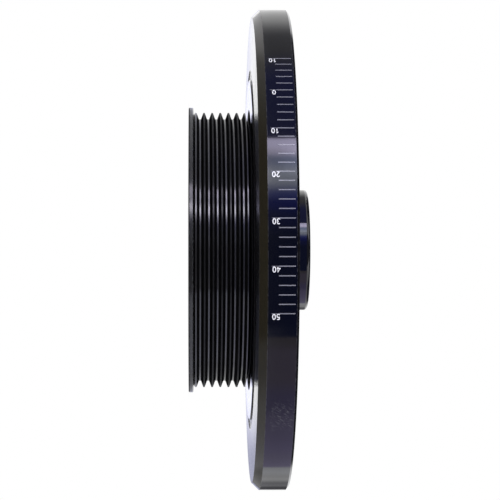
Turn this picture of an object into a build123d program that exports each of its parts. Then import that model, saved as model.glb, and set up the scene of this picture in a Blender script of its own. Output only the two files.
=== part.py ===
"""Harmonic balancer with a bolt-on six-rib pulley, in millimetres.

The crank axis is Z. The pulley's front flange stands on z = 0, and the hub's nose,
which runs in the engine's front oil seal, points up to +Z. A rubber ring, bonded
between the hub's disc and the inertia ring, lets the ring twist against the crank.
"""
import os
from math import radians, tan

from build123d import *

# Pulley rim: flange, corner relief, ribs and rear relief
RIB_COUNT = 6
RIB_PITCH = 3.56
GROOVE_ANGLE = 40.0
CREST_RADIUS = 60.2
CREST_WIDTH = 0.6
GROOVE_DEPTH = 2.8
FLANGE_HEIGHT = 2.2
FLANGE_WIDTH = 2.15
FLANGE_EDGE_CHAMFER = 0.4
CORNER_RELIEF_WIDTH = 0.7
CORNER_RELIEF_DEPTH = 0.8
FRONT_LAND_WIDTH = 0.55
REAR_LAND_WIDTH = 0.44
REAR_RELIEF_WIDTH = 1.7
REAR_RELIEF_ROOT_WIDTH = 0.6
REAR_RELIEF_DEPTH = 5.5

# Pulley cup and web
RIM_WALL = 4.9
WEB_THICKNESS = 7.5
MOUTH_CHAMFER = 1.2
CUP_CORNER_CUT = 1.6
PILOT_CLEARANCE = 0.03
PILOT_CHAMFER = 0.6

# Pulley bolts (M8, socket head) and their spring washers
BOLT_COUNT = 6
BOLT_RADIUS = 4.0
BOLT_LENGTH = 20.0
HEAD_RADIUS = 6.5
HEAD_HEIGHT = 8.0
HEAD_EDGE_CHAMFER = 0.5
TIP_CHAMFER = 0.8
HEX_ACROSS_FLATS = 6.0
HEX_DEPTH = 4.0
THREAD_CLEARANCE = 0.03
SHANK_CLEARANCE = 0.4
HEAD_TO_RIM = 2.0
HEAD_TO_PILOT = 1.5
WASHER_RADIUS = 6.35
WASHER_THICKNESS = 2.0
WASHER_CLEARANCE = 0.15
SPLIT_WIDTH = 1.0
SPLIT_LEAN = 20.0

# Hub
DISC_RADIUS = 74.6
DISC_RIM_WALL = 10.0
DISC_EDGE_CHAMFER = 0.4
DISC_REAR_STEP = 0.8
HUB_WEB_THICKNESS = 11.0
RECESS_CORNER_CUT = 1.5
PILOT_HEIGHT = 4.0
NOSE_RADIUS = 26.5
NOSE_REACH = 9.45
NOSE_END_RADIUS = 1.6
NOSE_ROOT_CUT = 1.5
CRANK_BORE_RADIUS = 19.0
BORE_CHAMFER = 1.0
KEYWAY_WIDTH = 5.0
KEYWAY_DEPTH = 2.4
PULLER_HOLE_COUNT = 3
PULLER_HOLE_RADIUS = 3.4
PULLER_HOLE_DEPTH = 12.0
PULLER_HOLE_ANGLE = 30.0

# Bonded rubber ring, keyed by a low ridge round its middle
RUBBER_THICKNESS = 4.0
RUBBER_FRONT_STEP = 0.3
RUBBER_FRONT_HOLLOW = 0.15
RUBBER_REAR_STEP = 0.8
RUBBER_REAR_HOLLOW = 0.6
RIDGE_WIDTH = 6.0
RIDGE_TOP_WIDTH = 4.0
RIDGE_HEIGHT = 0.8

# Inertia ring
RING_RADIUS = 104.8
RING_WIDTH = 15.25
RING_STEP = 0.95
RING_FRONT_RISE = 0.5
RING_FRONT_CHAMFER = 3.1
RING_REAR_CHAMFER = 0.9
RING_INNER_CHAMFER = 0.3
BALANCE_HOLE_COUNT = 3
BALANCE_HOLE_RADIUS = 3.0
BALANCE_HOLE_DEPTH = 4.0
BALANCE_HOLE_SPACING = 6.0
BALANCE_HOLE_ANGLE = 140.0
DRILL_POINT_ANGLE = 118.0

# Groove section, from its mouth between two crests down to its root
half_mouth = (RIB_PITCH - CREST_WIDTH) / 2
half_root = half_mouth - GROOVE_DEPTH * tan(radians(GROOVE_ANGLE / 2))

# Radii from the belt inwards
root_radius = CREST_RADIUS - GROOVE_DEPTH
flange_radius = CREST_RADIUS + FLANGE_HEIGHT
cup_radius = root_radius - RIM_WALL
bolt_circle_radius = cup_radius - HEAD_TO_RIM - HEAD_RADIUS
pilot_radius = bolt_circle_radius - HEAD_RADIUS - HEAD_TO_PILOT
puller_circle_radius = (CRANK_BORE_RADIUS + pilot_radius) / 2

# Radii from the hub's disc outwards
recess_radius = DISC_RADIUS - DISC_RIM_WALL
ring_bore_radius = DISC_RADIUS + RUBBER_THICKNESS
balance_circle_radius = (ring_bore_radius + RING_RADIUS) / 2

# Heights up the crank axis
front_land_z = FLANGE_WIDTH + CORNER_RELIEF_WIDTH
first_crest_z = front_land_z + FRONT_LAND_WIDTH
ribs_end_z = first_crest_z + RIB_COUNT * RIB_PITCH - CREST_WIDTH
rear_relief_z = ribs_end_z + REAR_LAND_WIDTH
seat_z = rear_relief_z + REAR_RELIEF_WIDTH
pulley_web_z = seat_z - WEB_THICKNESS
pilot_z = seat_z - PILOT_HEIGHT
head_seat_z = pulley_web_z - WASHER_THICKNESS
hub_web_rear_z = seat_z + HUB_WEB_THICKNESS
ring_front_z = seat_z + RING_STEP
ring_inner_front_z = ring_front_z - RING_FRONT_RISE
ring_rear_z = ring_front_z + RING_WIDTH
disc_rear_z = ring_rear_z - DISC_REAR_STEP
nose_end_z = ring_rear_z + NOSE_REACH
rubber_front_z = ring_inner_front_z + RUBBER_FRONT_STEP
rubber_rear_z = disc_rear_z - RUBBER_REAR_STEP
rubber_middle_z = (rubber_front_z + rubber_rear_z) / 2

NEAR = 1e-4


def corners(sketch, radius, *heights):
    """The sketch's vertices at one radius, at the given heights or at all of them."""
    at_radius = [v for v in sketch.vertices() if abs(v.X - radius) < NEAR]
    if not heights:
        return at_radius
    return [v for v in at_radius if min(abs(v.Y - z) for z in heights) < NEAR]


def rib_points():
    """The grooves' outline from front to rear: down one flank and up the other."""
    points = []
    for rib in range(RIB_COUNT):
        middle = first_crest_z + half_mouth + rib * RIB_PITCH
        points.append((CREST_RADIUS, middle - half_mouth))
        points.append((root_radius, middle - half_root))
        points.append((root_radius, middle + half_root))
        points.append((CREST_RADIUS, middle + half_mouth))
    return points


def rear_relief_points():
    """The deep undercut behind the last rib, open towards the hub's disc."""
    seat_radius = CREST_RADIUS - REAR_RELIEF_DEPTH
    return [
        (CREST_RADIUS, rear_relief_z),
        (seat_radius, seat_z - REAR_RELIEF_ROOT_WIDTH),
        (seat_radius, seat_z),
    ]


def make_pulley():
    pilot_hole_radius = pilot_radius + PILOT_CLEARANCE
    outline = [
        (cup_radius, 0),
        (flange_radius, 0),
        (flange_radius, FLANGE_WIDTH),
        (CREST_RADIUS - CORNER_RELIEF_DEPTH, FLANGE_WIDTH),
        (CREST_RADIUS, front_land_z),
        *rib_points(),
        *rear_relief_points(),
        (pilot_hole_radius, seat_z),
        (pilot_hole_radius, pulley_web_z),
        (cup_radius, pulley_web_z),
    ]
    with BuildPart() as pulley:
        with BuildSketch(Plane.XZ) as section:
            with BuildLine():
                Polyline(*outline, close=True)
            make_face()
            chamfer(corners(section, flange_radius), FLANGE_EDGE_CHAMFER)
            chamfer(corners(section, cup_radius, pulley_web_z), CUP_CORNER_CUT)
            chamfer(corners(section, cup_radius, 0), MOUTH_CHAMFER)
            chamfer(corners(section, pilot_hole_radius), PILOT_CHAMFER)
        revolve(axis=Axis.Z)
        with Locations((0, 0, pulley_web_z)):
            with PolarLocations(bolt_circle_radius, BOLT_COUNT):
                Cylinder(
                    BOLT_RADIUS + SHANK_CLEARANCE,
                    WEB_THICKNESS,
                    align=(Align.CENTER, Align.CENTER, Align.MIN),
                    mode=Mode.SUBTRACT,
                )
    return pulley.part


def ridge_points(radius):
    """The rubber's locking ridge on a cylinder of this radius, from front to rear."""
    return [
        (radius, rubber_middle_z - RIDGE_WIDTH / 2),
        (radius + RIDGE_HEIGHT, rubber_middle_z - RIDGE_TOP_WIDTH / 2),
        (radius + RIDGE_HEIGHT, rubber_middle_z + RIDGE_TOP_WIDTH / 2),
        (radius, rubber_middle_z + RIDGE_WIDTH / 2),
    ]


def make_hub():
    with BuildPart() as hub:
        with BuildSketch(Plane.XZ) as section:
            with BuildLine():
                Polyline(
                    *ridge_points(DISC_RADIUS),
                    (DISC_RADIUS, disc_rear_z),
                    (recess_radius, disc_rear_z),
                    (recess_radius, hub_web_rear_z),
                    (NOSE_RADIUS, hub_web_rear_z),
                    (NOSE_RADIUS, nose_end_z),
                    (CRANK_BORE_RADIUS, nose_end_z),
                    (CRANK_BORE_RADIUS, pilot_z),
                    (pilot_radius, pilot_z),
                    (pilot_radius, seat_z),
                    (DISC_RADIUS, seat_z),
                    close=True,
                )
            make_face()
            chamfer(corners(section, DISC_RADIUS, seat_z, disc_rear_z), DISC_EDGE_CHAMFER)
            chamfer(corners(section, pilot_radius, pilot_z), PILOT_CHAMFER)
            chamfer(corners(section, CRANK_BORE_RADIUS), BORE_CHAMFER)
            chamfer(corners(section, recess_radius, hub_web_rear_z), RECESS_CORNER_CUT)
            chamfer(corners(section, NOSE_RADIUS, hub_web_rear_z), NOSE_ROOT_CUT)
            fillet(corners(section, NOSE_RADIUS, nose_end_z), NOSE_END_RADIUS)
        revolve(axis=Axis.Z)
        with Locations((0, 0, seat_z)):
            with PolarLocations(bolt_circle_radius, BOLT_COUNT):
                Cylinder(
                    BOLT_RADIUS + THREAD_CLEARANCE,
                    HUB_WEB_THICKNESS,
                    align=(Align.CENTER, Align.CENTER, Align.MIN),
                    mode=Mode.SUBTRACT,
                )
        with Locations((0, 0, pilot_z)):
            with PolarLocations(puller_circle_radius, PULLER_HOLE_COUNT, PULLER_HOLE_ANGLE):
                Cylinder(
                    PULLER_HOLE_RADIUS,
                    PULLER_HOLE_DEPTH,
                    align=(Align.CENTER, Align.CENTER, Align.MIN),
                    mode=Mode.SUBTRACT,
                )
            Box(
                KEYWAY_WIDTH,
                CRANK_BORE_RADIUS + KEYWAY_DEPTH,
                nose_end_z - pilot_z,
                align=(Align.CENTER, Align.MIN, Align.MIN),
                mode=Mode.SUBTRACT,
            )
    return hub.part


def make_elastomer_ring():
    """The bonded rubber, nearly flush in front and hollowed at the rear."""
    middle_radius = (DISC_RADIUS + ring_bore_radius) / 2
    with BuildPart() as rubber:
        with BuildSketch(Plane.XZ):
            with BuildLine():
                Polyline(
                    (middle_radius, rubber_front_z + RUBBER_FRONT_HOLLOW),
                    (DISC_RADIUS, rubber_front_z),
                    *ridge_points(DISC_RADIUS),
                    (DISC_RADIUS, rubber_rear_z),
                    (middle_radius, rubber_rear_z - RUBBER_REAR_HOLLOW),
                    (ring_bore_radius, rubber_rear_z),
                    *reversed(ridge_points(ring_bore_radius)),
                    (ring_bore_radius, rubber_front_z),
                    close=True,
                )
            make_face()
        revolve(axis=Axis.Z)
    return rubber.part


def make_inertia_ring():
    """The heavy outer ring, whose front face rises a little towards its bore."""
    with BuildPart() as ring:
        with BuildSketch(Plane.XZ) as section:
            with BuildLine():
                Polyline(
                    *ridge_points(ring_bore_radius),
                    (ring_bore_radius, ring_rear_z),
                    (RING_RADIUS, ring_rear_z),
                    (RING_RADIUS, ring_front_z),
                    (ring_bore_radius, ring_inner_front_z),
                    close=True,
                )
            make_face()
            inner_corners = corners(section, ring_bore_radius, ring_inner_front_z, ring_rear_z)
            chamfer(corners(section, RING_RADIUS, ring_front_z), RING_FRONT_CHAMFER)
            chamfer(corners(section, RING_RADIUS, ring_rear_z), RING_REAR_CHAMFER)
            chamfer(inner_corners, RING_INNER_CHAMFER)
        revolve(axis=Axis.Z)
        add(balance_drillings(), mode=Mode.SUBTRACT)
    return ring.part


def balance_drillings():
    """A short row of drillings in the rear face, which bring the ring into balance."""
    point_depth = BALANCE_HOLE_RADIUS / tan(radians(DRILL_POINT_ANGLE / 2))
    floor_z = ring_rear_z - BALANCE_HOLE_DEPTH
    with BuildPart() as drill:
        with BuildSketch(Plane.XZ):
            with BuildLine():
                Polyline(
                    (0, floor_z - point_depth),
                    (BALANCE_HOLE_RADIUS, floor_z),
                    (BALANCE_HOLE_RADIUS, ring_rear_z),
                    (0, ring_rear_z),
                    close=True,
                )
            make_face()
        revolve(axis=Axis.Z)
    drillings = []
    for hole in range(BALANCE_HOLE_COUNT):
        angle = BALANCE_HOLE_ANGLE + hole * BALANCE_HOLE_SPACING
        drillings.append(Rot(0, 0, angle) * Pos(balance_circle_radius, 0, 0) * drill.part)
    return drillings


def round_the_bolt_circle(piece):
    """One copy of the piece at each bolt, as separate solids of one node."""
    copies = [location * piece for location in PolarLocations(bolt_circle_radius, BOLT_COUNT)]
    return Compound(children=copies)


def make_pulley_bolts():
    head_z = head_seat_z - HEAD_HEIGHT
    with BuildPart() as bolt:
        with BuildSketch(Plane.XZ) as section:
            with BuildLine():
                Polyline(
                    (0, head_z),
                    (HEAD_RADIUS, head_z),
                    (HEAD_RADIUS, head_seat_z),
                    (BOLT_RADIUS, head_seat_z),
                    (BOLT_RADIUS, head_seat_z + BOLT_LENGTH),
                    (0, head_seat_z + BOLT_LENGTH),
                    close=True,
                )
            make_face()
            chamfer(corners(section, HEAD_RADIUS, head_z), HEAD_EDGE_CHAMFER)
            chamfer(corners(section, BOLT_RADIUS, head_seat_z + BOLT_LENGTH), TIP_CHAMFER)
        revolve(axis=Axis.Z)
        with BuildSketch(Plane.XY.offset(head_z)):
            RegularPolygon(HEX_ACROSS_FLATS / 2, 6, major_radius=False)
        extrude(amount=HEX_DEPTH, mode=Mode.SUBTRACT)
    return round_the_bolt_circle(bolt.part)


def make_lock_washers():
    with BuildPart() as washer:
        with BuildSketch(Plane.XY.offset(head_seat_z)):
            Circle(WASHER_RADIUS)
            Circle(BOLT_RADIUS + WASHER_CLEARANCE, mode=Mode.SUBTRACT)
        extrude(amount=WASHER_THICKNESS)
        with Locations(Location((WASHER_RADIUS / 2, 0, head_seat_z + WASHER_THICKNESS / 2), (SPLIT_LEAN, 0, 0))):
            Box(WASHER_RADIUS, SPLIT_WIDTH, 2 * WASHER_THICKNESS, mode=Mode.SUBTRACT)
    return round_the_bolt_circle(washer.part)


PIECES = {
    "pulley": make_pulley,
    "hub": make_hub,
    "elastomer_ring": make_elastomer_ring,
    "inertia_ring": make_inertia_ring,
    "pulley_bolts": make_pulley_bolts,
    "lock_washers": make_lock_washers,
}

os.makedirs("parts", exist_ok=True)
for node, make in PIECES.items():
    export_step(make(), f"parts/{node}.step")
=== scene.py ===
"""Looks for the harmonic balancer: finishes for its six metal and rubber nodes, the
timing scale on the inertia ring's rim, and a plain studio to show it in.

Lengths are metres. Angles round the crank axis are measured from -Y towards -X.
"""
from math import cos, pi, radians, sin

import bmesh
import bpy
from bpy.props import FloatProperty, FloatVectorProperty, IntProperty, PointerProperty
from mathutils import Matrix, Vector


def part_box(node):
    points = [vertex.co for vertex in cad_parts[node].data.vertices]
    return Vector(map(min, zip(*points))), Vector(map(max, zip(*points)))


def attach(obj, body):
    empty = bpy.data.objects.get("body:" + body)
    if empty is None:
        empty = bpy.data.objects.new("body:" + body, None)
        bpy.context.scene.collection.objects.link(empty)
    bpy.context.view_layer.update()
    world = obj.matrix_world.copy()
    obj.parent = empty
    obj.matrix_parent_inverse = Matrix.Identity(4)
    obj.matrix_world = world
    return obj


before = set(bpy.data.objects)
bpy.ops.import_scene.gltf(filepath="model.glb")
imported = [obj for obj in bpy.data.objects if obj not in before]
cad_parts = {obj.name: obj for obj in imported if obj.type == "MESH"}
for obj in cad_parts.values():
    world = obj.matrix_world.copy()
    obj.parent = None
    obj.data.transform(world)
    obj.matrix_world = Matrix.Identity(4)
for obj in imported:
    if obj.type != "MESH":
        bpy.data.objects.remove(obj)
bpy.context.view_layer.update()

bl_info = {
    "name": "Harmonic balancer",
    "version": (1, 0, 0),
    "blender": (4, 5, 0),
    "location": "3D View > Sidebar > Balancer",
    "description": "Finishes a crankshaft harmonic balancer and sets it in a plain studio",
    "category": "Object",
}

BODY = "root"
MM = 0.001

_, ring_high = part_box("inertia_ring")
_, pulley_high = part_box("pulley")
_, hub_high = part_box("hub")

RING_RADIUS = ring_high[0]
RING_REAR = ring_high[2]
FLANGE_RADIUS = pulley_high[0]
SEAT = pulley_high[2]
NOSE_END = hub_high[2]

CREST_RADIUS = 60.2 * MM
ROOT_RADIUS = 57.4 * MM
CRANK_BORE_RADIUS = 19.0 * MM
DISC_RADIUS = 74.6 * MM
RING_FRONT = 27.25 * MM
RIM_CHAMFER = 3.1 * MM
REAR_CHAMFER = 0.9 * MM
FLANGE_WIDTH = 2.15 * MM
RIB_PITCH = 3.56 * MM
RIBS_FRONT = 3.4 * MM
RIBS_REAR = 24.16 * MM
FIRST_ROOT = 4.88 * MM
FLANGE_CHAMFER = 0.4 * MM
DISC_CHAMFER = 0.4 * MM
# Painted shade: inside this radius the hub's front face under the pulley is made matt and
# unreflective, standing in for the shade between the two parts.
SEAT_SHADE_RADIUS = 61.8 * MM
SEAT_SHADE_FADE = 0.6 * MM

# The hair scratches' place along the axis, and how far they reach from their middle
SCUFF_HEIGHT = 37.0 * MM
SCUFF_REACH = (3.0, 6.0)
SCUFF_SPREAD = (2.0, 5.5)

# Edges that catch light and lose their black first, as (radius, height) round the axis
RING_EDGES = (
    (RING_RADIUS, RING_FRONT + RIM_CHAMFER),
    (RING_RADIUS - RIM_CHAMFER, RING_FRONT),
    (RING_RADIUS, RING_REAR - REAR_CHAMFER),
    (RING_RADIUS - REAR_CHAMFER, RING_REAR),
)
PULLEY_EDGES = (
    (FLANGE_RADIUS, FLANGE_CHAMFER),
    (FLANGE_RADIUS - FLANGE_CHAMFER, 0),
    (FLANGE_RADIUS, FLANGE_WIDTH - FLANGE_CHAMFER),
    (FLANGE_RADIUS - FLANGE_CHAMFER, FLANGE_WIDTH),
)
HUB_EDGES = (
    (DISC_RADIUS - DISC_CHAMFER, SEAT),
    (CRANK_BORE_RADIUS + MM, NOSE_END),
)

# What the studio shows the rim and nose of the hub, as changes met while turning from -Y
# towards -X or the other way: (first degree, last degree, colour)
BLACK_ROOM = (0.01, 0.03, 0.17)
HIGH_LEFT = (
    (6, 14, (0.03, 0.05, 0.35)),
    (15, 21, (0.05, 0.08, 0.75)),
    (21, 26, (0.3, 0.38, 1.4)),
    (25, 32, (2.3, 2.5, 3.1)),
    (35, 41.5, (1.4, 1.6, 2.5)),
    (42, 46, (4.4, 4.1, 5.6)),
    (45.5, 49, (6.3, 5.9, 8.3)),
    (51.8, 52.4, (0.1, 0.12, 0.45)),
    (82, 108, (0.31, 0.31, 0.33)),
    (118, 140, (1.0, 1.0, 1.0)),
)
HIGH_RIGHT = (
    (-39.7, -40.3, (0.38, 0.33, 0.38)),
    (-42, -48, (0.5, 0.42, 0.6)),
    (-60, -72, (0.46, 0.4, 0.78)),
    (-76, -86, (0.7, 0.62, 1.05)),
    (-104, -114, (0.68, 0.62, 0.95)),
    (-122, -123.4, (1.3, 1.32, 1.4)),
    (-127, -135, (0.95, 0.95, 0.97)),
    (-137, -145, (0.34, 0.34, 0.36)),
    (-149, -156, (0.1, 0.1, 0.11)),
    (-162, -168, (1.0, 1.0, 1.0)),
)

# The same near the horizon, which is what the pulley mirrors
GREY_ROOM = (0.25, 0.24, 0.24)
LOW_LEFT = (
    (0, 10, (0.55, 0.55, 0.57)),
    (21, 28, (2.75, 2.6, 2.8)),
    (27, 33, (9.5, 9.0, 9.6)),
    (36, 40, (4.0, 3.8, 4.1)),
    (43, 48, (4.8, 4.5, 4.8)),
    (51.8, 53.5, (1.0, 1.0, 1.02)),
    (56, 66, (0.75, 0.75, 0.77)),
    (75, 90, (0.9, 0.9, 0.92)),
    (100, 120, (0.65, 0.65, 0.65)),
    (165, 172, (1.0, 1.0, 1.0)),
)
LOW_RIGHT = (
    (-34.5, -35.3, (1.08, 1.12, 1.22)),
    (-65, -80, (1.0, 1.02, 1.08)),
    (-100, -120, (0.6, 0.6, 0.6)),
    (-172.6, -175.0, (1.0, 1.0, 1.0)),
)
UNDER = (
    (20, 60, (0.6, 0.6, 0.6)),
    (145, 165, (1.4, 1.4, 1.4)),
    (-20, -60, (0.45, 0.45, 0.45)),
    (-100, -130, (0.22, 0.22, 0.22)),
    (-173, -176, (0.6, 0.6, 0.6)),
)

# Painted shade and light on the floor, seen by glossy rays only, which polished edges mirror:
# changes met while going along X from 0, (first millimetre, last millimetre, colour)
FLOOR_MIRRORED_SHADE = (0.14, 0.13, 0.11)
FLOOR_LEFT = (
    (-50, -100, (0.48, 0.48, 0.48)),
    (-100, -115, (0.95, 0.95, 0.95)),
)
FLOOR_RIGHT = (
    (42, 52, (0.36, 0.36, 0.37)),
    (60, 85, (0.66, 0.66, 0.68)),
    (122, 132, (0.35, 0.35, 0.35)),
)

# Plain parts of the studio
WHITE = (1.0, 1.0, 1.0)
WALL = (1.3, 1.3, 1.32)
CEILING = (2.5, 2.5, 2.54)
CEILING_BEHIND = (0.06, 0.06, 0.07)
HOOD = (0.12, 0.12, 0.13)
GLOW = (1.5, 1.5, 1.5)
BELOW_LEVEL_TINT = (0.95, 0.97, 1.3)


class Number:
    """One value in a shader. Python's operators on it add the Math nodes."""

    def __init__(self, shader, socket):
        self.shader = shader
        self.socket = socket

    def __add__(self, other):
        return self.shader.math("ADD", self, other)

    def __sub__(self, other):
        return self.shader.math("SUBTRACT", self, other)

    def __rsub__(self, other):
        return self.shader.math("SUBTRACT", other, self)

    def __mul__(self, other):
        return self.shader.math("MULTIPLY", self, other)

    def __truediv__(self, other):
        return self.shader.math("DIVIDE", self, other)

    def __pow__(self, other):
        return self.shader.math("POWER", self, other)

    def __abs__(self):
        return self.shader.math("ABSOLUTE", self)

    __radd__ = __add__
    __rmul__ = __mul__


class Shader:
    """The node tree of a material or world, with the few steps its finishes share."""

    def __init__(self, owner):
        owner.use_nodes = True
        self.tree = owner.node_tree
        self.tree.nodes.clear()

    def node(self, kind, settings=None, sockets=None):
        """Adds a node, applies its settings, then fills its sockets by value or by link."""
        made = self.tree.nodes.new("ShaderNode" + kind)
        for name, value in (settings or {}).items():
            setattr(made, name, value)
        for key, value in (sockets or {}).items():
            if isinstance(value, Number):
                value = value.socket
            if isinstance(value, bpy.types.NodeSocket):
                self.tree.links.new(value, made.inputs[key])
            else:
                made.inputs[key].default_value = value
        return made

    def math(self, operation, *values):
        made = self.node("Math", {"operation": operation}, dict(enumerate(values)))
        return Number(self, made.outputs[0])

    def largest(self, values):
        most = values[0]
        for value in values[1:]:
            most = self.math("MAXIMUM", most, value)
        return most

    def rise(self, value, low, high):
        """A smooth step from 0 at low to 1 at high, or down again where low is the larger."""
        made = self.node(
            "MapRange",
            {"interpolation_type": "SMOOTHSTEP"},
            {"Value": value, "From Min": low, "From Max": high},
        )
        return Number(self, made.outputs[0])

    def mix(self, factor, first, second):
        """A colour between two colours."""
        made = self.node("Mix", {"data_type": "RGBA"}, {0: factor, 6: first, 7: second})
        return made.outputs[2]

    def sweep(self, angle, first, changes):
        """The colour at an angle, from a first colour and the changes met on the way."""
        colour = first
        for start, end, after in changes:
            colour = self.mix(self.rise(angle, start, end), colour, rgba(after))
        return colour

    def scale(self, colour, factor):
        """A colour made brighter or darker."""
        made = self.node("VectorMath", {"operation": "SCALE"}, {0: colour, "Scale": factor})
        return made.outputs[0]

    def direction(self):
        """The direction that a world's colour is asked for, as x, y and z."""
        place = self.node("TexCoord").outputs["Generated"]
        parts = self.node("SeparateXYZ", sockets={0: place})
        return [Number(self, part) for part in parts.outputs]

    def place(self):
        """The surface point in millimetres, as a vector."""
        place = self.node("TexCoord").outputs["Object"]
        made = self.node("VectorMath", {"operation": "SCALE"}, {0: place, "Scale": 1 / MM})
        return made.outputs[0]

    def round_the_axis(self, place):
        """A point's radius, its angle from -Y towards -X in degrees, and its height."""
        parts = self.node("SeparateXYZ", sockets={0: place})
        x, y, z = [Number(self, part) for part in parts.outputs]
        radius = self.math("SQRT", x * x + y * y)
        angle = self.math("ARCTAN2", x * -1, y * -1) * (180 / pi)
        return radius, angle, z

    def vector(self, x, y, z):
        return self.node("CombineXYZ", sockets={0: x, 1: y, 2: z}).outputs[0]

    def noise(self, place, size, detail=3.0, contrast=0.5):
        """Noise from 0 to 1 whose blotches are about size millimetres wide."""
        made = self.node(
            "TexNoise",
            sockets={"Vector": place, "Scale": 1 / size, "Detail": detail, "Roughness": contrast},
        )
        return Number(self, made.outputs[0])

    def worn(self, radius, height, edges, width, breakup):
        """1 along the given edges, fading within a broken width."""
        near = []
        for edge_radius, edge_height in edges:
            across = radius - edge_radius / MM
            along = height - edge_height / MM
            near.append(self.rise(self.math("SQRT", across * across + along * along), width, 0))
        return self.largest(near) * self.rise(breakup, 0.35, 0.65)

    def finish(self, bump=None, bump_height=0.0, dull=None, **sockets):
        """The Principled surface, with a duller one mixed in where dull is 1.

        Spaces in the socket names are written as underscores.
        """
        named = {key.replace("_", " "): value for key, value in sockets.items()}
        if bump is not None:
            raised = self.node("Bump", sockets={"Height": bump, "Distance": bump_height})
            named["Normal"] = raised.outputs[0]
        surface = self.node("BsdfPrincipled", sockets=named).outputs[0]
        if dull is not None:
            named.update({"Specular IOR Level": 0.05, "Roughness": 0.6})
            matt = self.node("BsdfPrincipled", sockets=named).outputs[0]
            surface = self.node("MixShader", sockets={0: dull, 1: surface, 2: matt}).outputs[0]
        self.node("OutputMaterial", sockets={"Surface": surface})


def new_material(name):
    material = bpy.data.materials.new(name)
    return material, Shader(material)


def rgba(colour):
    return (*colour, 1.0)


def times(colour, factor):
    return (*[channel * factor for channel in colour], 1.0)


def gloss_black(settings):
    """Black paint over the cast iron ring: glossy, faintly rippled and scuffed at one place, with
    a painted reflection on its front chamfer.
    """
    material, shader = new_material("gloss_black_paint")
    place = shader.place()
    radius, angle, height = shader.round_the_axis(place)
    ripple = shader.noise(place, 2.5, detail=2)
    haze = shader.noise(place, 14, detail=4)
    breakup = shader.noise(place, 1.5, detail=4)
    edges = shader.worn(radius, height, RING_EDGES, 0.3, breakup)
    round_arc = angle * (radius * pi / 180)
    slanted = shader.vector(round_arc * 2.2 + height * 1.4, height * 0.25 - round_arc * 0.3, 0)
    hairs = shader.rise(shader.noise(slanted, 0.9, detail=5, contrast=0.62), 0.54, 0.62)
    near, far = SCUFF_SPREAD
    scuffed = shader.rise(abs(angle - settings.scuff_angle * (180 / pi)), far, near)
    near, far = SCUFF_REACH
    scuffed = scuffed * shader.rise(abs(height - SCUFF_HEIGHT / MM), far, near)
    scuffs = hairs * scuffed
    marks = shader.largest([edges * 0.5, scuffs * 0.7])
    # Painted reflection: the front chamfer gets a paler olive base colour that stands in for the
    # dim floor it mirrors.
    chamfer_line = (RING_RADIUS - RING_FRONT - RIM_CHAMFER) / MM
    chamfer = shader.rise(radius - height, chamfer_line - 0.1, chamfer_line - 0.03)
    paint = shader.mix(chamfer, rgba(settings.paint_colour), rgba(settings.chamfer_colour))
    colour = shader.mix(marks, paint, rgba(settings.scuff_colour))
    face = shader.rise(height, RING_FRONT / MM + 0.08, RING_FRONT / MM + 0.02)
    roughness = settings.paint_roughness + haze * 0.05 + marks * 0.3 + face * 0.05
    shader.finish(
        bump=ripple,
        bump_height=0.004 * MM,
        Base_Color=colour,
        Roughness=roughness,
        Specular_IOR_Level=settings.paint_shine,
    )
    return material


def black_oxide_hub(settings):
    """The hub's machined iron, blackened and oiled, with its crank bore left bright and painted
    shade on its face under the pulley.
    """
    material, shader = new_material("blackened_iron")
    place = shader.place()
    radius, angle, height = shader.round_the_axis(place)
    turning = shader.noise(shader.vector(radius * 3, height * 3, angle * 0.01), 1.0, detail=4)
    haze = shader.noise(place, 9, detail=4)
    breakup = shader.noise(place, 1.2, detail=4)
    edges = shader.worn(radius, height, HUB_EDGES, 0.3, breakup) * 0.4
    bore = shader.rise(radius, CRANK_BORE_RADIUS / MM + 0.35, CRANK_BORE_RADIUS / MM + 0.15)
    # Painted shade: the face under the pulley is turned matt and unreflective so it reads dark.
    seat_shade_edge = SEAT_SHADE_RADIUS / MM
    seat_shade = shader.rise(radius, seat_shade_edge, seat_shade_edge - SEAT_SHADE_FADE / MM)
    seat_shade = seat_shade * shader.rise(height, SEAT / MM + 0.1, SEAT / MM + 0.05)
    blackened = shader.mix(edges, rgba(settings.oxide_colour), rgba(settings.worn_colour))
    colour = shader.mix(bore, blackened, rgba(settings.bore_colour))
    shader.finish(
        bump=turning,
        bump_height=0.004 * MM,
        dull=seat_shade,
        Base_Color=colour,
        Metallic=bore,
        Roughness=settings.oxide_roughness + haze * 0.03 + edges * 0.2 + bore * 0.12,
    )
    return material


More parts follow.
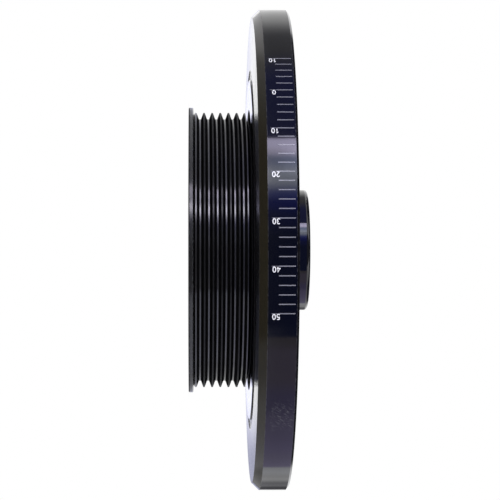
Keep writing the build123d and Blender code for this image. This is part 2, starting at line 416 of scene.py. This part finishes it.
def anodised_pulley(settings):
    """Black anodised aluminium with the lathe's fine rings, rubbed paler at the edges."""
    material, shader = new_material("black_anodised_aluminium")
    place = shader.place()
    radius, angle, height = shader.round_the_axis(place)
    turning = shader.noise(shader.vector(radius * 4, height * 4, angle * 0.01), 1.0, detail=5)
    haze = shader.noise(place, 7, detail=4)
    breakup = shader.noise(place, 1.0, detail=4)
    edges = shader.worn(radius, height, PULLEY_EDGES, 0.35, breakup)
    middle = (RIBS_FRONT + RIBS_REAR) / 2
    reach = (RIBS_REAR - middle) / MM
    ribs = shader.rise(abs(height - middle / MM), reach, reach - 0.05)
    ribs = ribs * shader.rise(radius, ROOT_RADIUS / MM - 2, ROOT_RADIUS / MM - 1)
    crests = shader.rise(radius, CREST_RADIUS / MM - 0.15, CREST_RADIUS / MM - 0.05)
    phase = shader.math("FRACT", (height - FIRST_ROOT / MM) / (RIB_PITCH / MM) + 0.5)
    from_root = abs(phase - 0.5) * (RIB_PITCH / MM)
    roots = shader.rise(from_root, 0.34, 0.22)
    roots = roots * shader.rise(radius, ROOT_RADIUS / MM + 0.15, ROOT_RADIUS / MM + 0.05)
    # Painted shade: the groove flanks, most of each crest and the pulley behind the ribs are made
    # matt and unreflective, so they read dark as shade makes them.
    flanks = ribs * (1 - roots - crests * settings.crest_polish)
    relief = shader.rise(height, RIBS_REAR / MM + 0.5, RIBS_REAR / MM + 0.6)
    # Painted highlight: the root strips get a paler base colour that stands in for the light the
    # roots catch.
    black = shader.mix(roots, rgba(settings.anodised_colour), rgba(settings.dust_colour))
    marks = shader.largest([edges * 0.5, ribs * crests * breakup * 0.1])
    colour = shader.mix(marks, black, rgba(settings.rubbed_colour))
    shader.finish(
        bump=turning,
        bump_height=0.003 * MM,
        dull=shader.largest([flanks, relief]),
        Base_Color=colour,
        Roughness=settings.anodised_roughness + haze * 0.06,
        Specular_IOR_Level=settings.anodised_shine,
    )
    return material


def black_rubber(settings):
    """Moulded nitrile rubber: matt, with a fine grain and a little bloom."""
    material, shader = new_material("black_rubber")
    place = shader.place()
    grain = shader.noise(place, 0.35, detail=4)
    bloom = shader.rise(shader.noise(place, 6, detail=5), 0.5, 0.75)
    _, _, height = shader.round_the_axis(place)
    front = shader.rise(height, RING_FRONT / MM + 1, RING_FRONT / MM + 0.5)
    colour = shader.mix(bloom * 0.5, rgba(settings.rubber_colour), rgba(settings.bloom_colour))
    shader.finish(
        bump=grain,
        bump_height=0.012 * MM,
        Base_Color=colour,
        Roughness=settings.rubber_roughness + bloom * 0.1 - front * settings.moulded_sheen,
    )
    return material


def black_oxide_bolts(settings):
    """Socket-head bolts in oiled black oxide, a little browner in patches."""
    material, shader = new_material("black_oxide_steel")
    place = shader.place()
    patches = shader.noise(place, 3, detail=4)
    grain = shader.noise(place, 0.3, detail=3)
    colour = shader.mix(patches, rgba(settings.bolt_colour), rgba(settings.bolt_patch_colour))
    shader.finish(
        bump=grain,
        bump_height=0.01 * MM,
        Base_Color=colour,
        Metallic=0.6,
        Roughness=settings.bolt_roughness + patches * 0.15,
    )
    return material


def zinc_washers(settings):
    """Spring washers in bright zinc, with a faint drawn grain."""
    material, shader = new_material("zinc_plated_steel")
    place = shader.place()
    radius, angle, height = shader.round_the_axis(place)
    drawn = shader.noise(shader.vector(radius * 0.3, angle * 0.2, height * 5), 1.0, detail=4)
    bloom = shader.noise(place, 2, detail=4)
    dull = times(settings.zinc_colour, 0.8)
    colour = shader.mix(bloom, rgba(settings.zinc_colour), dull)
    shader.finish(
        bump=drawn,
        bump_height=0.006 * MM,
        Base_Color=colour,
        Metallic=1.0,
        Roughness=settings.zinc_roughness + bloom * 0.15,
    )
    return material


def scale_ink(name, colour, roughness):
    """Pale ink of the timing scale, slightly uneven."""
    material, shader = new_material(name)
    place = shader.place()
    uneven = shader.noise(place, 0.7, detail=4)
    shader.finish(
        bump=uneven,
        bump_height=0.01 * MM,
        Base_Color=shader.mix(uneven * 0.5, rgba(colour), times(colour, 0.75)),
        Roughness=roughness + uneven * 0.1,
    )
    return material


def set_material(thing, material):
    thing.data.materials.clear()
    thing.data.materials.append(material)


def rim_point(angle, along, radius):
    """A point on the rim: angle from -Y towards -X, and height along the crank axis."""
    return Vector((-radius * sin(angle), -radius * cos(angle), along))


def arc(centre, size, first, last, count=10):
    """Points along part of an ellipse, from one angle to another in degrees."""
    points = []
    for step in range(count + 1):
        turn = radians(first + (last - first) * step / count)
        points.append((centre[0] + size[0] * cos(turn), centre[1] + size[1] * sin(turn)))
    return points


# Each figure's strokes, one unit high and standing on its foot
FIGURES = {
    "0": [arc((0.3, 0.5), (0.22, 0.41), 0, 360, 20)],
    "1": [[(0.14, 0.72), (0.36, 0.91), (0.36, 0.09)]],
    "2": [arc((0.3, 0.68), (0.21, 0.23), 170, -35) + [(0.1, 0.09), (0.54, 0.09)]],
    "3": [arc((0.28, 0.71), (0.2, 0.2), 150, -80), arc((0.28, 0.3), (0.23, 0.21), 80, -150)],
    "4": [[(0.42, 0.09), (0.42, 0.91), (0.06, 0.32), (0.56, 0.32)]],
    "5": [[(0.5, 0.91), (0.16, 0.91), (0.13, 0.56)] + arc((0.29, 0.33), (0.23, 0.24), 110, -150)],
}
FIGURE_ADVANCE = 0.68


def add_stroke(mesh, points, width, scale):
    """A raised line on the rim through points given as distances along and round it."""
    closed = (Vector(points[0]) - Vector(points[-1])).length < 1e-9
    path = [Vector(point) for point in (points[:-1] if closed else points)]
    count = len(path)
    rows = []
    for place in range(count):
        into = path[place] - path[place - 1]
        onward = path[(place + 1) % count] - path[place]
        if not closed and place == 0:
            into = onward
        if not closed and place == count - 1:
            onward = into
        way = (into.normalized() + onward.normalized()).normalized()
        across = Vector((-way.y, way.x)) * width / 2
        across /= max(way.dot(onward.normalized()), 0.6)
        row = []
        for radius in (RING_RADIUS - scale.ink_foot, RING_RADIUS + scale.ink_height):
            for side in (path[place] - across, path[place] + across):
                row.append(mesh.verts.new(rim_point(side.y / RING_RADIUS, side.x, radius)))
        rows.append(row)
    for place in range(count if closed else count - 1):
        near, far = rows[place], rows[(place + 1) % count]
        for first, second in ((0, 1), (1, 3), (3, 2), (2, 0)):
            mesh.faces.new((near[first], near[second], far[second], far[first]))
    if not closed:
        for row in (rows[0], rows[-1]):
            mesh.faces.new((row[0], row[1], row[3], row[2]))


def add_mark(mesh, angle, low, high, width, scale):
    """A straight mark across the rim."""
    add_stroke(mesh, [(low, angle * RING_RADIUS), (high, angle * RING_RADIUS)], width, scale)


def ink_mesh(name, mesh):
    bmesh.ops.recalc_face_normals(mesh, faces=mesh.faces)
    data = bpy.data.meshes.new(name)
    mesh.to_mesh(data)
    mesh.free()
    return data


def new_piece(name, mesh, material):
    piece = bpy.data.objects.new(name, mesh)
    bpy.context.scene.collection.objects.link(piece)
    set_material(piece, material)
    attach(piece, BODY)
    return piece


def mark_angle(mark, scale):
    return scale.first_angle - mark * scale.mark_step


def decade_value(mark, scale):
    """The number at a long mark: it counts down to zero, then up."""
    return abs(mark - scale.zero_mark) * scale.mark_degrees


class RingSettings(bpy.types.PropertyGroup):
    paint_colour: FloatVectorProperty(
        name="Paint", description="Colour of the ring's gloss paint",
        subtype="COLOR", min=0, max=1, default=(0.002, 0.002, 0.003),
    )
    paint_roughness: FloatProperty(
        name="Paint roughness", description="Roughness of the paint where it is clean",
        subtype="FACTOR", min=0, max=1, default=0.05,
    )
    paint_shine: FloatProperty(
        name="Paint shine", description="Strength of the paint's reflection head-on",
        subtype="FACTOR", min=0, max=1, default=0.5,
    )
    # Painted reflection: an olive colour on the front chamfer, standing in for the dim floor it
    # mirrors.
    chamfer_colour: FloatVectorProperty(
        name="Chamfer", description="Colour of the thinner paint on the front chamfer",
        subtype="COLOR", min=0, max=1, default=(0.014, 0.0115, 0.0055),
    )
    scuff_colour: FloatVectorProperty(
        name="Scuffs", description="Colour of rubbed edges and of hair scratches",
        subtype="COLOR", min=0, max=1, default=(0.06, 0.06, 0.065),
    )
    scuff_angle: FloatProperty(
        name="Scuff angle", description="Where round the rim the scratches lie",
        subtype="ANGLE", unit="ROTATION", default=radians(-38.5),
    )


class HubSettings(bpy.types.PropertyGroup):
    oxide_colour: FloatVectorProperty(
        name="Black oxide", description="Colour of the blackened hub",
        subtype="COLOR", min=0, max=1, default=(0.004, 0.004, 0.006),
    )
    oxide_roughness: FloatProperty(
        name="Oxide roughness", description="Roughness of the oiled black surface",
        subtype="FACTOR", min=0, max=1, default=0.03,
    )
    worn_colour: FloatVectorProperty(
        name="Worn edges", description="Colour where handling has rubbed the edges",
        subtype="COLOR", min=0, max=1, default=(0.07, 0.07, 0.07),
    )
    bore_colour: FloatVectorProperty(
        name="Bore", description="Colour of the honed crank bore",
        subtype="COLOR", min=0, max=1, default=(0.42, 0.42, 0.43),
    )


class PulleySettings(bpy.types.PropertyGroup):
    anodised_colour: FloatVectorProperty(
        name="Anodising", description="Colour of the pulley's black",
        subtype="COLOR", min=0, max=1, default=(0.009, 0.009, 0.009),
    )
    anodised_roughness: FloatProperty(
        name="Satin roughness", description="Roughness of the anodised surface",
        subtype="FACTOR", min=0, max=1, default=0.1,
    )
    anodised_shine: FloatProperty(
        name="Satin shine", description="Strength of the pulley's reflection head-on",
        subtype="FACTOR", min=0, max=1, default=0.9,
    )
    # Painted highlight: a paler colour on the rib roots, standing in for the light they catch.
    dust_colour: FloatVectorProperty(
        name="Belt dust", description="Colour of the dust that the belt leaves in the grooves",
        subtype="COLOR", min=0, max=1, default=(0.03, 0.03, 0.03),
    )
    crest_polish: FloatProperty(
        name="Crest polish", description="How much of the crests' rounded tops mirrors light",
        subtype="FACTOR", min=0, max=1, default=0.22,
    )
    rubbed_colour: FloatVectorProperty(
        name="Rubbed edges", description="Colour where crests and flange edges are rubbed",
        subtype="COLOR", min=0, max=1, default=(0.16, 0.16, 0.165),
    )


class RubberSettings(bpy.types.PropertyGroup):
    rubber_colour: FloatVectorProperty(
        name="Rubber", description="Colour of the bonded rubber",
        subtype="COLOR", min=0, max=1, default=(0.012, 0.012, 0.012),
    )
    bloom_colour: FloatVectorProperty(
        name="Bloom", description="Colour of the faint bloom on the rubber",
        subtype="COLOR", min=0, max=1, default=(0.03, 0.03, 0.029),
    )
    rubber_roughness: FloatProperty(
        name="Rubber roughness", description="Roughness of the moulded rubber",
        subtype="FACTOR", min=0, max=1, default=0.62,
    )
    moulded_sheen: FloatProperty(
        name="Moulded sheen", description="How much smoother the rubber's front end is",
        subtype="FACTOR", min=0, max=1, default=0.46,
    )


class FastenerSettings(bpy.types.PropertyGroup):
    bolt_colour: FloatVectorProperty(
        name="Bolts", description="Colour of the bolts' black oxide",
        subtype="COLOR", min=0, max=1, default=(0.035, 0.035, 0.037),
    )
    bolt_patch_colour: FloatVectorProperty(
        name="Bolt patches", description="Browner colour that the oxide has in patches",
        subtype="COLOR", min=0, max=1, default=(0.06, 0.05, 0.045),
    )
    bolt_roughness: FloatProperty(
        name="Bolt roughness", description="Roughness of the oiled oxide",
        subtype="FACTOR", min=0, max=1, default=0.3,
    )
    zinc_colour: FloatVectorProperty(
        name="Zinc", description="Colour of the plated washers",
        subtype="COLOR", min=0, max=1, default=(0.62, 0.63, 0.66),
    )
    zinc_roughness: FloatProperty(
        name="Zinc roughness", description="Roughness of the plating",
        subtype="FACTOR", min=0, max=1, default=0.22,
    )


class ScaleSettings(bpy.types.PropertyGroup):
    mark_count: IntProperty(
        name="Marks", description="How many marks the timing scale has",
        min=2, max=90, default=31,
    )
    marks_to_decade: IntProperty(
        name="Marks to a decade", description="How many marks lie between two numbers",
        min=1, max=20, default=5,
    )
    zero_mark: IntProperty(
        name="Zero mark", description="Which mark is top dead centre, counted from the first",
        min=0, max=90, default=5,
    )
    mark_degrees: IntProperty(
        name="Degrees a mark", description="Crank degrees between two marks, for the numbers",
        min=1, max=10, default=2,
    )
    mark_step: FloatProperty(
        name="Mark step", description="Angle between two marks",
        subtype="ANGLE", unit="ROTATION", default=radians(2),
    )
    first_angle: FloatProperty(
        name="First mark", description="Where round the rim the scale begins",
        subtype="ANGLE", unit="ROTATION", default=radians(46.65),
    )
    rear_margin: FloatProperty(
        name="Rear margin", description="From the marks' ends to the ring's rear face",
        subtype="DISTANCE", unit="LENGTH", default=1.6 * MM,
    )
    tick_length: FloatProperty(
        name="Tick length", description="Length of a mark across the rim",
        subtype="DISTANCE", unit="LENGTH", default=6.4 * MM,
    )
    tick_width: FloatProperty(
        name="Tick width", description="Width of a mark",
        subtype="DISTANCE", unit="LENGTH", default=0.42 * MM,
    )
    lead_length: FloatProperty(
        name="Lead length", description="Thin line that runs from a long mark over its number",
        subtype="DISTANCE", unit="LENGTH", default=2.7 * MM,
    )
    lead_width: FloatProperty(
        name="Lead width", description="Width of that thin line",
        subtype="DISTANCE", unit="LENGTH", default=0.2 * MM,
    )
    numeral_height: FloatProperty(
        name="Numeral height", description="Height of the numbers, round the rim",
        subtype="DISTANCE", unit="LENGTH", default=2.4 * MM,
    )
    numeral_weight: FloatProperty(
        name="Numeral weight", description="Thickness of the numbers' strokes",
        subtype="DISTANCE", unit="LENGTH", default=0.37 * MM,
    )
    numeral_gap: FloatProperty(
        name="Numeral gap", description="From a long mark's line to its number",
        subtype="DISTANCE", unit="LENGTH", default=0.05 * MM,
    )
    numeral_place: FloatProperty(
        name="Numeral place", description="From the numbers' middle to the ring's rear face",
        subtype="DISTANCE", unit="LENGTH", default=8.95 * MM,
    )
    ink_height: FloatProperty(
        name="Ink height", description="How far the ink stands proud of the rim",
        subtype="DISTANCE", unit="LENGTH", default=0.01 * MM,
    )
    ink_foot: FloatProperty(
        name="Ink foot", description="How far the ink sinks below the rim's surface",
        subtype="DISTANCE", unit="LENGTH", default=0.08 * MM,
    )
    tick_colour: FloatVectorProperty(
        name="Tick ink", description="Colour of the marks",
        subtype="COLOR", min=0, max=1, default=(0.21, 0.21, 0.24),
    )
    numeral_colour: FloatVectorProperty(
        name="Numeral ink", description="Colour of the numbers",
        subtype="COLOR", min=0, max=1, default=(0.85, 0.85, 0.87),
    )
    ink_roughness: FloatProperty(
        name="Ink roughness", description="Roughness of the ink",
        subtype="FACTOR", min=0, max=1, default=0.1,
    )


class StudioSettings(bpy.types.PropertyGroup):
    camera_distance: FloatProperty(
        name="Camera distance", description="From the crank axis to the camera",
        subtype="DISTANCE", unit="LENGTH", default=0.7354,
    )
    camera_height: FloatProperty(
        name="Camera height", description="Height of the camera above the floor",
        subtype="DISTANCE", unit="LENGTH", default=2.75 * MM,
    )
    camera_tilt: FloatProperty(
        name="Camera tilt", description="How far the camera looks up from level",
        subtype="ANGLE", unit="ROTATION", default=radians(1.885),
    )
    lens: FloatProperty(
        name="Lens", description="Focal length of the camera, in millimetres",
        min=10, max=500, default=120.2,
    )
    floor_colour: FloatVectorProperty(
        name="Floor", description="Colour of the floor close to the object",
        subtype="COLOR", min=0, max=1, default=(0.86, 0.86, 0.87),
    )
    floor_radius: FloatProperty(
        name="Floor radius", description="How far the floor reaches from the axis",
        subtype="DISTANCE", unit="LENGTH", default=0.25,
    )
    shade_radius: FloatProperty(
        name="Shade radius", description="Where the floor starts to fade into the background",
        subtype="DISTANCE", unit="LENGTH", default=0.056,
    )
    fade_radius: FloatProperty(
        name="Fade radius", description="Where the floor has become the white background",
        subtype="DISTANCE", unit="LENGTH", default=0.066,
    )


class BalancerSettings(bpy.types.PropertyGroup):
    ring: PointerProperty(type=RingSettings)
    hub: PointerProperty(type=HubSettings)
    pulley: PointerProperty(type=PulleySettings)
    rubber: PointerProperty(type=RubberSettings)
    fasteners: PointerProperty(type=FastenerSettings)
    scale: PointerProperty(type=ScaleSettings)
    studio: PointerProperty(type=StudioSettings)


class BALANCER_OT_inertia_ring(bpy.types.Operator):
    """Paint the inertia ring gloss black"""
    bl_idname = "balancer.inertia_ring"
    bl_label = "Inertia ring"

    def execute(self, context):
        material = gloss_black(context.scene.balancer.ring)
        set_material(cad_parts["inertia_ring"], material)
        return {"FINISHED"}


class BALANCER_OT_elastomer_ring(bpy.types.Operator):
    """Give the bonded ring its rubber"""
    bl_idname = "balancer.elastomer_ring"
    bl_label = "Elastomer ring"

    def execute(self, context):
        material = black_rubber(context.scene.balancer.rubber)
        set_material(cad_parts["elastomer_ring"], material)
        return {"FINISHED"}


class BALANCER_OT_hub(bpy.types.Operator):
    """Blacken the hub and leave its crank bore bright"""
    bl_idname = "balancer.hub"
    bl_label = "Hub"

    def execute(self, context):
        material = black_oxide_hub(context.scene.balancer.hub)
        set_material(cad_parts["hub"], material)
        return {"FINISHED"}


class BALANCER_OT_pulley(bpy.types.Operator):
    """Anodise the ribbed pulley black"""
    bl_idname = "balancer.pulley"
    bl_label = "Pulley"

    def execute(self, context):
        material = anodised_pulley(context.scene.balancer.pulley)
        set_material(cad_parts["pulley"], material)
        return {"FINISHED"}


class BALANCER_OT_fasteners(bpy.types.Operator):
    """Finish the pulley bolts in black oxide and their spring washers in zinc"""
    bl_idname = "balancer.fasteners"
    bl_label = "Bolts and washers"

    def execute(self, context):
        settings = context.scene.balancer.fasteners
        set_material(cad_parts["pulley_bolts"], black_oxide_bolts(settings))
        set_material(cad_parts["lock_washers"], zinc_washers(settings))
        return {"FINISHED"}


class BALANCER_OT_timing_marks(bpy.types.Operator):
    """Lay the timing scale's marks on the ring's rim"""
    bl_idname = "balancer.timing_marks"
    bl_label = "Timing marks"

    def execute(self, context):
        scale = context.scene.balancer.scale
        high = RING_REAR - scale.rear_margin
        low = high - scale.tick_length
        mesh = bmesh.new()
        for mark in range(scale.mark_count):
            angle = mark_angle(mark, scale)
            add_mark(mesh, angle, low, high, scale.tick_width, scale)
            if (mark - scale.zero_mark) % scale.marks_to_decade == 0:
                add_mark(mesh, angle, low - scale.lead_length, low, scale.lead_width, scale)
        ink = scale_ink("scale_ink_grey", scale.tick_colour, scale.ink_roughness)
        new_piece("timing_marks", ink_mesh("timing_marks", mesh), ink)
        return {"FINISHED"}


class BALANCER_OT_timing_numerals(bpy.types.Operator):
    """Write the timing scale's numbers beside its long marks"""
    bl_idname = "balancer.timing_numerals"
    bl_label = "Timing numerals"

    def execute(self, context):
        scale = context.scene.balancer.scale
        mesh = bmesh.new()
        for mark in range(0, scale.mark_count, scale.marks_to_decade):
            self.write(mesh, str(decade_value(mark, scale)), mark_angle(mark, scale), scale)
        ink = scale_ink("scale_ink_white", scale.numeral_colour, scale.ink_roughness)
        new_piece("timing_numerals", ink_mesh("timing_numerals", mesh), ink)
        return {"FINISHED"}

    def write(self, mesh, words, angle, scale):
        """Adds one number, its foot beside the mark and its lines running to the pulley."""
        size = scale.numeral_height
        foot = angle * RING_RADIUS - scale.numeral_gap
        start = RING_REAR - scale.numeral_place + len(words) * FIGURE_ADVANCE * size / 2
        for place, figure in enumerate(words):
            left = start - (place * FIGURE_ADVANCE + 0.04) * size
            for stroke in FIGURES[figure]:
                points = [(left - across * size, foot - up * size) for across, up in stroke]
                add_stroke(mesh, points, scale.numeral_weight, scale)


class BALANCER_OT_studio(bpy.types.Operator):
    """Set up the floor, the studio's light and the camera"""
    bl_idname = "balancer.studio"
    bl_label = "Studio"

    def execute(self, context):
        settings = context.scene.balancer.studio
        self.lay_floor(context.scene, settings)
        self.light(context.scene)
        self.place_camera(context.scene, settings)
        context.scene.view_settings.view_transform = "Standard"
        return {"FINISHED"}

    def lay_floor(self, scene, settings):
        """A pale floor that keeps the shadow and fades into the white background.

        Glossy rays see painted shade and light on it along X instead, which polished edges
        mirror.
        """
        mesh = bmesh.new()
        bmesh.ops.create_circle(mesh, cap_ends=True, segments=96, radius=settings.floor_radius)
        data = bpy.data.meshes.new("floor")
        mesh.to_mesh(data)
        mesh.free()
        floor = bpy.data.objects.new("floor", data)
        scene.collection.objects.link(floor)
        material, shader = new_material("pale_floor")
        radius, _, _ = shader.round_the_axis(shader.place())
        rays = shader.node("LightPath").outputs
        camera = Number(shader, rays["Is Camera Ray"])
        far = shader.rise(radius, settings.shade_radius / MM, settings.fade_radius / MM)
        along = shader.node("SeparateXYZ", sockets={0: shader.place()}).outputs[0]
        along = Number(shader, along)
        # Painted shade and light on the floor, for glossy rays only.
        mirrored = shader.sweep(along, rgba(FLOOR_MIRRORED_SHADE), FLOOR_LEFT)
        mirrored = shader.sweep(along, mirrored, FLOOR_RIGHT)
        colour = shader.mix(rays["Is Glossy Ray"], rgba(settings.floor_colour), mirrored)
        pale = shader.node("BsdfPrincipled", sockets={"Base Color": colour, "Roughness": 0.9})
        white = shader.node("Emission", sockets={"Color": rgba(WHITE), "Strength": 1.0})
        blend = shader.node(
            "MixShader", sockets={0: far * camera, 1: pale.outputs[0], 2: white.outputs[0]}
        )
        shader.node("OutputMaterial", sockets={"Surface": blend.outputs[0]})
        set_material(floor, material)

    def light(self, scene):
        """The room as one world shader: a low and a high band of strips, walls and a ceiling.

        A hood in front and above is seen by glossy rays only. Camera rays see plain white.
        """
        world = bpy.data.worlds.new("studio")
        scene.world = world
        shader = Shader(world)
        x, y, z = shader.direction()
        angle = shader.math("ARCTAN2", x * -1, y * -1) * (180 / pi)
        low = shader.sweep(angle, shader.sweep(angle, rgba(GREY_ROOM), LOW_LEFT), LOW_RIGHT)
        high = shader.sweep(angle, shader.sweep(angle, rgba(BLACK_ROOM), HIGH_LEFT), HIGH_RIGHT)
        bluer = shader.node(
            "VectorMath", {"operation": "MULTIPLY"}, {0: low, 1: BELOW_LEVEL_TINT}
        )
        low = shader.mix(shader.rise(z, 0.001, -0.001), low, bluer.outputs[0])
        level = 0.95 + shader.rise(z, 0.046, 0.04) * 0.1 + shader.rise(z, 0.054, 0.063) * 0.25
        level = level + shader.rise(z, 0.055, 0.06) * shader.rise(abs(angle - 41), 8, 5) * 0.8
        colour = shader.mix(shader.rise(z, 0.031, 0.036), low, shader.scale(high, level))
        colour = shader.mix(shader.rise(z, 0.1, 0.22), colour, rgba(WALL))
        behind = shader.rise(y, -0.3, -0.1)
        ceiling = shader.mix(behind, rgba(CEILING), rgba(CEILING_BEHIND))
        edge = 0.55 - behind * 0.12
        colour = shader.mix(shader.rise(z - edge, -0.04, 0.04), colour, ceiling)
        rays = shader.node("LightPath").outputs
        hood = shader.rise(abs(angle), 34, 28) * shader.rise(z, 0.08, 0.12)
        hood = hood * Number(shader, rays["Is Glossy Ray"])
        colour = shader.mix(hood, colour, rgba(HOOD))
        sunk = shader.sweep(angle, rgba(GREY_ROOM), UNDER)
        glow = shader.largest([shader.rise(angle, 150, 165), shader.rise(angle, -172.8, -175.2)])
        glow = glow * shader.rise(z, -0.032, -0.037)
        colour = shader.mix(glow, colour, rgba(GLOW))
        colour = shader.mix(shader.rise(z, -0.06, -0.12), colour, sunk)
        colour = shader.mix(rays["Is Camera Ray"], colour, rgba(WHITE))
        background = shader.node("Background", sockets={"Color": colour, "Strength": 1.0})
        shader.node("OutputWorld", sockets={"Surface": background.outputs[0]})

    def place_camera(self, scene, settings):
        """Looks along +Y at the rim, rolled so that the crank axis lies across the frame."""
        data = bpy.data.cameras.new("camera")
        data.lens = settings.lens
        data.clip_start = 0.01
        camera = bpy.data.objects.new("camera", data)
        scene.collection.objects.link(camera)
        tilt = settings.camera_tilt
        right = Vector((0, -sin(tilt), cos(tilt)))
        forward = Vector((0, cos(tilt), sin(tilt)))
        up = right.cross(forward)
        turn = Matrix((right, up, -forward)).transposed().to_4x4()
        turn.translation = Vector((0, -settings.camera_distance, settings.camera_height))
        camera.matrix_world = turn
        scene.camera = camera


BUILDERS = (
    BALANCER_OT_inertia_ring,
    BALANCER_OT_elastomer_ring,
    BALANCER_OT_hub,
    BALANCER_OT_pulley,
    BALANCER_OT_fasteners,
    BALANCER_OT_timing_marks,
    BALANCER_OT_timing_numerals,
    BALANCER_OT_studio,
)


class BALANCER_PT_sidebar(bpy.types.Panel):
    """The balancer's builders and settings"""
    bl_idname = "BALANCER_PT_sidebar"
    bl_label = "Harmonic balancer"
    bl_space_type = "VIEW_3D"
    bl_region_type = "UI"
    bl_category = "Balancer"

    def draw(self, context):
        settings = context.scene.balancer
        for builder in BUILDERS:
            self.layout.operator(builder.bl_idname)
        for group in settings.bl_rna.properties.keys():
            part = getattr(settings, group, None)
            if not isinstance(part, bpy.types.PropertyGroup):
                continue
            box = self.layout.box()
            box.label(text=group.capitalize())
            for name in part.__annotations__:
                box.prop(part, name)


CLASSES = (
    RingSettings,
    HubSettings,
    PulleySettings,
    RubberSettings,
    FastenerSettings,
    ScaleSettings,
    StudioSettings,
    BalancerSettings,
    *BUILDERS,
    BALANCER_PT_sidebar,
)


def register():
    for made in CLASSES:
        bpy.utils.register_class(made)
    bpy.types.Scene.balancer = PointerProperty(type=BalancerSettings)


def unregister():
    del bpy.types.Scene.balancer
    for made in reversed(CLASSES):
        bpy.utils.unregister_class(made)


def main():
    register()
    for builder in BUILDERS:
        group, name = builder.bl_idname.split(".")
        getattr(getattr(bpy.ops, group), name)()


if __name__ == "__main__":
    main()
